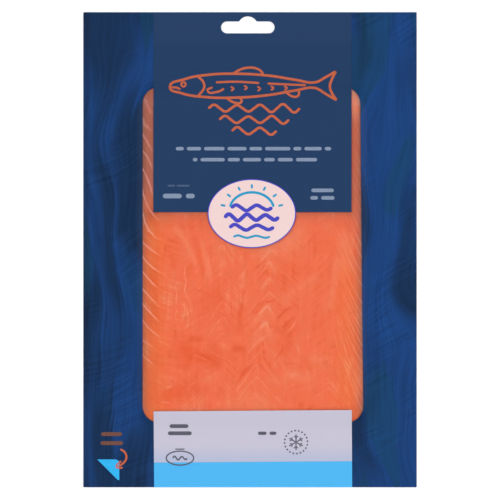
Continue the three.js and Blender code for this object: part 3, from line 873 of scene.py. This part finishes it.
def clear_film(tree):
    """Clear polyethylene, IOR 1.5. A sheet this thin doesn't bend light, so it is gloss over nothing. A ray
    that leaves the sheet meets the same gloss as one that enters, so the IOR is turned over there."""
    gloss = add_node(tree, "BsdfGlossy", {"Color": (1, 1, 1, 1), "Roughness": 0.12})
    clear = add_node(tree, "BsdfTransparent", {"Color": (1, 1, 1, 1)})
    leaving = add_node(tree, "NewGeometry", {}).outputs["Backfacing"]
    ior = add_node(tree, "Math", {0: leaving, 1: 1 / 1.5 - 1.5, 2: 1.5}, operation="MULTIPLY_ADD")
    facing = add_node(tree, "Fresnel", {"IOR": ior})
    both = add_node(tree, "MixShader", {0: facing, 1: clear, 2: gloss})
    add_node(tree, "OutputMaterial", {"Surface": both})


clear_film(new_material("clear_polyethylene", window_film))
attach(window_film, "root")
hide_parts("window_film")


# Title label. A satin navy panel with an oval tab, laid on the front web from the pack's top edge to the
# middle of the window, and punched through with the hang slot.
LABEL_NAVY = "#1c395e"
# A lighter navy, painted as light on the part of the label that lies on the flat weld
LABEL_NAVY_PAINTED_LIGHT = "#203b60"
TITLE_LENGTH = 120
LABEL = 0.25
LABEL_BOTTOM = LAYER_GAP
LABEL_TOP = LABEL_BOTTOM + LABEL

title_low, title_high = (Vector(corner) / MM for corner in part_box("title_label"))
badge_low, badge_high = (Vector(corner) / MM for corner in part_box("badge"))
badge_centre = (badge_low + badge_high) / 2
badge_size = badge_high - badge_low


def over_web(offset):
    return lambda x, y: web_top(x, y) + offset


def oval_tool():
    """An upright oval rod, as wide and as high as the badge."""
    deselect()
    bpy.ops.mesh.primitive_cylinder_add(vertices=96, radius=0.5 * MM, depth=CUT_DEPTH * MM)
    bpy.ops.transform.resize(value=(badge_size.x, badge_size.y, 1))
    bpy.ops.transform.translate(value=(badge_centre.x * MM, badge_centre.y * MM, 0))
    bpy.ops.object.transform_apply()
    return bpy.context.object


title_label = sheet(title_low, title_high, LABEL)
title_width = title_high.x - title_low.x
title_middle = (title_low.x + title_high.x) / 2
# The outline runs 2 mm past the pack's top edge, where the sheet itself ends
panel = block(title_middle, half_length - TITLE_LENGTH / 2 + 1, title_width, TITLE_LENGTH + 2)
combine(panel, oval_tool(), "UNION")
combine(title_label, panel, "INTERSECT")
combine(title_label, slot_tool(), "DIFFERENCE")
form(title_label, over_web(LABEL_BOTTOM), over_web(LABEL_TOP))
title_label.name = "title_panel"


def shaded_print(tree, colour, other, start, end, share=1):
    """Satin print that turns towards another colour between two heights up the pack. It gives the date
    label a printed grade, and the title label a painted lighter band.
    """
    place = add_node(tree, "TexCoord", {}).outputs["Object"]
    height = add_node(tree, "SeparateXYZ", {"Vector": place}).outputs["Y"]
    turning = {"Value": height, "From Min": start * MM, "From Max": end * MM, "To Max": share}
    turning = add_node(tree, "MapRange", turning, **SMOOTH)
    colours = {6: linear(colour), 7: linear(other)}
    satin_film(tree, add_node(tree, "Mix", {0: turning, **colours}, data_type="RGBA").outputs[2], 0.5)


# Where the label lies on the flat weld it is painted a shade lighter: painted light on the flat part
weld = half_length - TOP_WELD
title_print = new_material("satin_navy_label", title_label)
shaded_print(title_print, LABEL_NAVY, LABEL_NAVY_PAINTED_LIGHT, weld, weld + WELD_STEP)
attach(title_label, "root")
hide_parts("title_label")


# Badge. An oval field of pale pink, printed on the label's tab.
BADGE_PINK = "#ebcfcd"
BADGE_BOTTOM = LABEL_TOP + LAYER_GAP
BADGE_TOP = BADGE_BOTTOM + 0.2

badge = sheet(badge_low, badge_high, 1)
combine(badge, oval_tool(), "INTERSECT")
form(badge, over_web(BADGE_BOTTOM), over_web(BADGE_TOP))
badge.name = "badge_field"
satin_film(new_material("satin_pink_label", badge), linear(BADGE_PINK), 0.5)
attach(badge, "root")
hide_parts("badge")


# Date label and foot band. A lavender panel over the foot of the window, and a cyan band below it that runs
# off the pack's lower edge. Both were laid a little askew.
LAVENDER = "#c3bfd0"
LAVENDER_LOW = "#6a9fd0"
CYAN = "#4bb2ed"
LABEL_TILT = 0.4
LABEL_X = 1.8
LABEL_WIDTH = 118.8
DATE_LABEL_TOP = -96.5
FOOT_TOP = -127.3
# Half the gap where the two meet, and how far down the band's outline reaches: past the pack's lower edge
JOIN = 0.02
FOOT_REACH = 20


def tilted_block(low, high):
    """A block as wide as the labels, from low to high above the line between them."""
    middle = (low + high) / 2
    lean = math.radians(LABEL_TILT)
    x = LABEL_X - middle * math.sin(lean)
    y = FOOT_TOP + middle * math.cos(lean)
    return block(x, y, LABEL_WIDTH, high - low, LABEL_TILT)


date_low, date_high = (Vector(corner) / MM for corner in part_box("date_label"))
date_label = sheet(date_low, date_high, LABEL)
combine(date_label, tilted_block(JOIN, DATE_LABEL_TOP - FOOT_TOP), "INTERSECT")
form(date_label, over_web(LABEL_BOTTOM), over_web(LABEL_TOP))
date_label.name = "date_panel"
# A screen of fine dots turns it a little to cyan over the last 12 mm above the band
date_print = new_material("satin_lavender_label", date_label)
shaded_print(date_print, LAVENDER, LAVENDER_LOW, FOOT_TOP + 12, FOOT_TOP, 0.24)
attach(date_label, "root")
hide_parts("date_label")

foot_low, foot_high = (Vector(corner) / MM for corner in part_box("foot_band"))
foot_band = sheet(foot_low, foot_high, LABEL)
combine(foot_band, tilted_block(-FOOT_REACH, -JOIN), "INTERSECT")
form(foot_band, over_web(LABEL_BOTTOM), over_web(LABEL_TOP))
foot_band.name = "cyan_band"
satin_film(new_material("satin_cyan_label", foot_band), linear(CYAN), 0.5)
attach(foot_band, "root")
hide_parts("foot_band")


# Inks. What was printed on the labels and the film last: hand-drawn ornaments, plain bars and small signs.
# Real ink is a few hundredths of a millimetre thick. It is a little thicker here, so that it has a shape,
# and sunk a little into what it is printed on.
INK = 0.08
INK_SUNK = 0.02
INK_ORANGE = "#bf5f40"
INK_DUSK = "#70493e"
INK_PALE = "#7f8fa8"
INK_DIM = "#465a7a"
INK_DARK = "#595866"
INK_VIOLET = "#4644bb"
INK_CYAN = "#1d97c4"
INK_SKY = "#2fb0ec"


def ink(name, strokes, base, colour):
    """Draws strokes through their points, with round ends, on what lies base above the front web. Each
    stroke is (width in mm, points), and one whose last point is its first is closed."""
    curve = bpy.data.curves.new(name, "CURVE")
    curve.dimensions = "3D"
    curve.bevel_depth = MM / 2
    curve.bevel_resolution = 1
    curve.use_fill_caps = True
    curve.resolution_u = 5
    for width, points in strokes:
        closed = points[0] == points[-1]
        points = [Vector((*point, 0)) for point in points]
        if closed:
            points = points[:-1]
        else:
            # Its ends narrow to half over the last 0.4 of its width, which rounds them
            first = points[0].lerp(points[1], 0.4 * width / (points[1] - points[0]).length)
            last = points[-1].lerp(points[-2], 0.4 * width / (points[-2] - points[-1]).length)
            points = [points[0], first, *points[1:-1], last, points[-1]]
        spline = curve.splines.new("BEZIER")
        spline.use_cyclic_u = closed
        spline.bezier_points.add(len(points) - 1)
        for i, (knot, point) in enumerate(zip(spline.bezier_points, points)):
            end = not closed and i in (0, len(points) - 1)
            knot.co = (point + Vector((0, 0, FULL / 2))) * MM
            knot.radius = width * (0.5 if end else 1)
            knot.handle_left_type = knot.handle_right_type = "AUTO"
    made = bpy.data.objects.new(name, curve)
    bpy.context.scene.collection.objects.link(made)
    take(made)
    bpy.ops.object.convert(target="MESH")
    form(made, over_web(base - INK_SUNK), over_web(base + INK))
    litho_ink(new_material(name + "_ink", made), colour)
    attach(made, "root")


def litho_ink(tree, colour):
    """Offset ink, semi-matt, a little uneven in strength where it was taken up by the plate."""
    place = add_node(tree, "TexCoord", {}).outputs["Object"]
    uneven = add_node(tree, "TexNoise", {"Vector": place, "Scale": 1 / (1.6 * MM), "Detail": 3})
    strength = add_node(tree, "MapRange", {"Value": uneven, "To Min": 0.85, "To Max": 1.15})
    shade = {0: linear(colour)[:3], "Scale": strength}
    satin_film(tree, add_node(tree, "VectorMath", shade, operation="SCALE").outputs[0], 0.6)


def shifted(points, x, y):
    return [(px + x, py + y) for px, py in points]


def turned(points, degrees):
    cos, sin = math.cos(math.radians(degrees)), math.sin(math.radians(degrees))
    return [(x * cos - y * sin, x * sin + y * cos) for x, y in points]


def bars(left, right, y, width, lengths):
    """A row of bars from left to right, with these relative lengths."""
    gap = 0.9 * width
    room = right - left - gap * (len(lengths) - 1)
    strokes = []
    at = left
    for length in lengths:
        long = room * length / sum(lengths)
        strokes.append((width, [(at, y), (at + long, y)]))
        at += long + gap
    return strokes


def wave(width, left, right, y, height, crests):
    """A hand-drawn wave: each crest is a little unlike the last."""
    count = 4 * crests + 1
    points = []
    for i in range(count):
        share = i / (count - 1)
        lift = math.sin(math.pi / 2 * i) * height * (1 + 0.15 * math.sin(5 * share + y))
        points.append((left + (right - left) * share, y + lift))
    return (width, points)


def oval(width, x, y, across, up, start=0, end=360, steps=24):
    """An oval about x, y, or its arc from start to end in degrees."""
    angles = [math.radians(start + (end - start) * i / steps) for i in range(steps + 1)]
    points = [(round(x + across * math.cos(a), 4), round(y + up * math.sin(a), 4)) for a in angles]
    return (width, points)


# The ornament on the title label: a long fish over three waves, drawn with a round brush.
FISH_AT = (1.5, 98.2)
fish_back = [(50, 8.8), (44, 5.4), (37.5, 2.2), (26, 3.7), (10, 6.2), (-10, 7.4), (-28, 6.6), (-41, 4)]
fish_belly = [(-43, -4.2), (-29, -6.6), (-10, -7), (10, -5.4), (26, -2.6), (37.5, -1.2), (44, -4.8)]
fish = [
    (1.5, [*fish_back, (-49.6, -0.6), *fish_belly, (50.4, -8.6)]),
    (1.5, [(50, 8.8), (47.4, 3.6), (46.4, -0.2), (47.6, -4.2), (50.4, -8.6)]),
    (1.4, [(-33, 6), (-29.6, 2.6), (-29, -1), (-32.6, -6)]),
    (1.3, [(-49, -0.8), (-45.4, -1), (-43.2, -2)]),
    (1.4, [(-12, 7.4), (-4.4, 10.8), (4.4, 9.6), (6.6, 6.8)]),
    (1.4, [(-16, -7), (-10.8, -10), (-6.6, -9.6), (-7.2, -7)]),
    (1.4, [(20, -3.8), (24.4, -6.4), (27.4, -5.8), (28, -2.6)]),
    (1.3, [(-24, -0.6), (-27, -2.8), (-20.6, -3.4), (-17, -1.6)]),
    (1.3, [(-22, 2.2), (-10, 2.6), (4, 1.8)]),
    (1.3, [(9, 1.5), (20, 1), (32, 0.5)]),
]
for x, y in ((-12, -1.4), (-4, -0.8), (4, -1.4), (12, -1), (20, -1)):
    fish.append((1.1, [(x - 1.1, y + 1.1), (x + 0.6, y - 0.2), (x - 0.9, y - 1.6)]))
ornament = [(width, shifted(points, *FISH_AT)) for width, points in fish]
ornament.append(oval(1.2, FISH_AT[0] - 41.4, FISH_AT[1] + 1, 1.3, 1.3, steps=8))
ornament.append(wave(1.5, -25, 30, 84.8, 2.2, 4))
ornament.append(wave(1.5, -18.5, 23.5, 78, 2.2, 3))
ornament.append(wave(1.5, -11, 16, 71.2, 2.2, 2))
ink("title_ornament", ornament, LABEL_TOP, INK_ORANGE)

# Bars on the title label.
pale = bars(-44.4, 48.6, 60.6, 2.1, (5, 9, 13, 12, 8, 16, 5, 11, 4))
pale += bars(-34.2, 40.2, 54, 2.1, (3, 16, 8, 12, 7, 10, 14))
pale += bars(-52.2, -33.2, 32.2, 2.8, (13, 6))
pale += bars(36.8, 50.2, 35.6, 2.2, (1,))
pale += bars(36.2, 50.6, 31.1, 2.2, (4, 7))
ink("title_bars", pale, LABEL_TOP, INK_PALE)
ink("small_bars", bars(-49.4, -36.2, 38.4, 1.1, (4, 7)), LABEL_TOP, INK_DIM)

# The badge: a violet rim, and a sun over waves.
BADGE_RIM = 0.6
rim_size = (badge_size.xy - Vector((BADGE_RIM, BADGE_RIM))) / 2
violet = [oval(BADGE_RIM, *badge_centre.xy, *rim_size, steps=48)]
cyan = [oval(1.5, 1.1, 23.4, 13.4, 11, 12, 168, 12)]
for degrees in range(15, 166, 25):
    ray = [(1.1 + x, 22.6 + 0.86 * y) for x, y in turned([(16.4, 0), (19.4, 0)], degrees)]
    cyan.append((1.2, ray))
violet.append(wave(2.2, -11.5, 13.5, 25.2, 1.5, 2))
violet.append(wave(2.4, -15.5, 17.5, 19.4, 1.7, 3))
violet.append(wave(2.2, -12.5, 14.5, 13.4, 1.5, 2))
cyan.append(wave(1.3, -10, 12, 7.8, 0.7, 2))
ink("badge_violet", violet, BADGE_TOP, INK_VIOLET)
ink("badge_cyan", cyan, BADGE_TOP, INK_CYAN)

# Signs on the lavender label: bars, a wave in an oval, and a snowflake in a ring.
FLAKE_AT = (27.6, -115.4)
FLAKE_ARM = [(0.7, [(0.2, 0), (4.8, 0)]), (0.6, [(2.6, 0), (3.7, 1.3)]), (0.6, [(2.6, 0), (3.7, -1.3)])]
dark = bars(-48.2, -37, -105.8, 2.3, (1,)) + bars(-49.2, -35, -110.1, 2.3, (1,))
dark += bars(4.8, 15.8, -110.1, 2, (5, 4))
dark.append(oval(0.8, -42, -125, 8.2, 4.2))
dark.append(wave(0.9, -46.4, -37.6, -125, 1, 2))
dark += bars(-44.8, -39.2, -119.6, 0.7, (1,))
dark += [oval(1.1, *FLAKE_AT, 6.9, 6.9, start, start + 9, 2) for start in range(0, 360, 18)]
for degrees in range(30, 360, 60):
    dark += [(width, shifted(turned(points, degrees), *FLAKE_AT)) for width, points in FLAKE_ARM]
ink("foot_signs", dark, LABEL_TOP, INK_DARK)

# The corner where the pack is opened: bars, an arrow, and a cyan field. The field is half of a rectangle
# that is cut from corner to corner, and its square corner is rounded.
dusk = bars(-89.2, -76.8, -110.6, 2.3, (1,)) + bars(-89.6, -76.2, -116, 2.3, (1,))
arrow = [(1.2, [(-77.8, -119.6), (-75.2, -121.4), (-74.1, -124.4), (-75.4, -127.4), (-79.6, -130.2)])]
arrow.append((1.2, [(-77.4, -126.6), (-80.2, -130.4), (-76.4, -130.8)]))
ink("corner_bars", dusk, 0, INK_DUSK)
ink("corner_arrow", arrow, 0, INK_ORANGE)

CORNER_ROUND = 2.6
corner_low, corner_high = Vector((-92.4, -138.2, 0)), Vector((-78.4, -125.8, 0))
corner_middle = (corner_low + corner_high) / 2
corner_size = corner_high - corner_low
corner_tool = block(*corner_middle.xy, *corner_size.xy)
keep_ahead(corner_tool, corner_middle * MM, (corner_size.y, corner_size.x, 0))
round_edges(corner_tool, CORNER_ROUND, lambda a, b: upright(a, b) and (a - corner_high).xy.length < 0.1)
corner_field = sheet(corner_low, corner_high, 1)
combine(corner_field, corner_tool, "INTERSECT")
form(corner_field, over_web(-INK_SUNK), over_web(INK - INK_SUNK))
corner_field.name = "corner_field"
litho_ink(new_material("corner_field_ink", corner_field), INK_SKY)
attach(corner_field, "root")


# Studio. A white light table, one softbox overhead and four round it. They shine through crossed
# polarisers, as for any pack shot, so they have no mirror image in the film, and only a low pale wall all
# round shows in its gloss. The camera looks straight down from far off.
FRAME_WIDTH = 300
CAMERA_Y = -0.15
LENS = 1000
SENSOR = 36
TABLE = "#f8f8f8"
TABLE_SIZE = 20000
TABLE_DROP = 0.2
TABLE_GLOW = 0.3
# How bright the wall is at its foot, how bright the room is above it, and where the one fades into the
# other, from 0 at the horizon to 1 overhead
WALL = 0.32
CEILING = 0.016
WALL_FADE = (0.05, 0.3)
# Softboxes: name, strength, how wide in degrees, how far from overhead, which way round
SOFTBOXES = [("overhead_softbox", 1.4, 80, 0, 0)]
SOFTBOXES += [(f"side_softbox_{side}", 1.05, 60, 62, turn) for side, turn in zip("abcd", range(0, 360, 90))]

deselect()
bpy.ops.mesh.primitive_plane_add(size=TABLE_SIZE * MM, location=(0, 0, -TABLE_DROP * MM))
table = bpy.context.object
table.name = "table"
board_tree = new_material("matt_white_board", table)
board = {"Base Color": linear(TABLE), "Roughness": 0.9, "IOR": 1.2}
glow = {"Emission Color": (1, 1, 1, 1), "Emission Strength": TABLE_GLOW}
board = add_node(board_tree, "BsdfPrincipled", {**board, **glow})
add_node(board_tree, "OutputMaterial", {"Surface": board})

for name, strength, spread, lean, turn in SOFTBOXES:
    bpy.ops.object.light_add(type="SUN", rotation=(math.radians(lean), 0, math.radians(turn)))
    softbox = bpy.context.object
    softbox.name = name
    softbox.data.energy = strength
    softbox.data.angle = math.radians(spread)
    softbox.visible_glossy = False

world = bpy.data.worlds.new("studio")
bpy.context.scene.world = world
world.use_nodes = True
room = world.node_tree
room.nodes.clear()
direction = add_node(room, "TexCoord", {}).outputs["Generated"]
up = add_node(room, "SeparateXYZ", {"Vector": direction}).outputs["Z"]
wall = {"Value": up, "From Min": WALL_FADE[0], "From Max": WALL_FADE[1], "To Min": WALL, "To Max": CEILING}
wall = add_node(room, "MapRange", wall, **SMOOTH)
wall = add_node(room, "Background", {"Color": (1, 1, 1, 1), "Strength": wall})
add_node(room, "OutputWorld", {"Surface": wall})

camera = bpy.data.cameras.new("camera")
camera.lens = LENS
camera.sensor_width = SENSOR
camera.clip_end = 50
camera_object = bpy.data.objects.new("camera", camera)
bpy.context.scene.collection.objects.link(camera_object)
camera_object.location = (0, CAMERA_Y * MM, FRAME_WIDTH * MM * LENS / SENSOR)
bpy.context.scene.camera = camera_object
bpy.context.scene.view_settings.view_transform = "Standard"
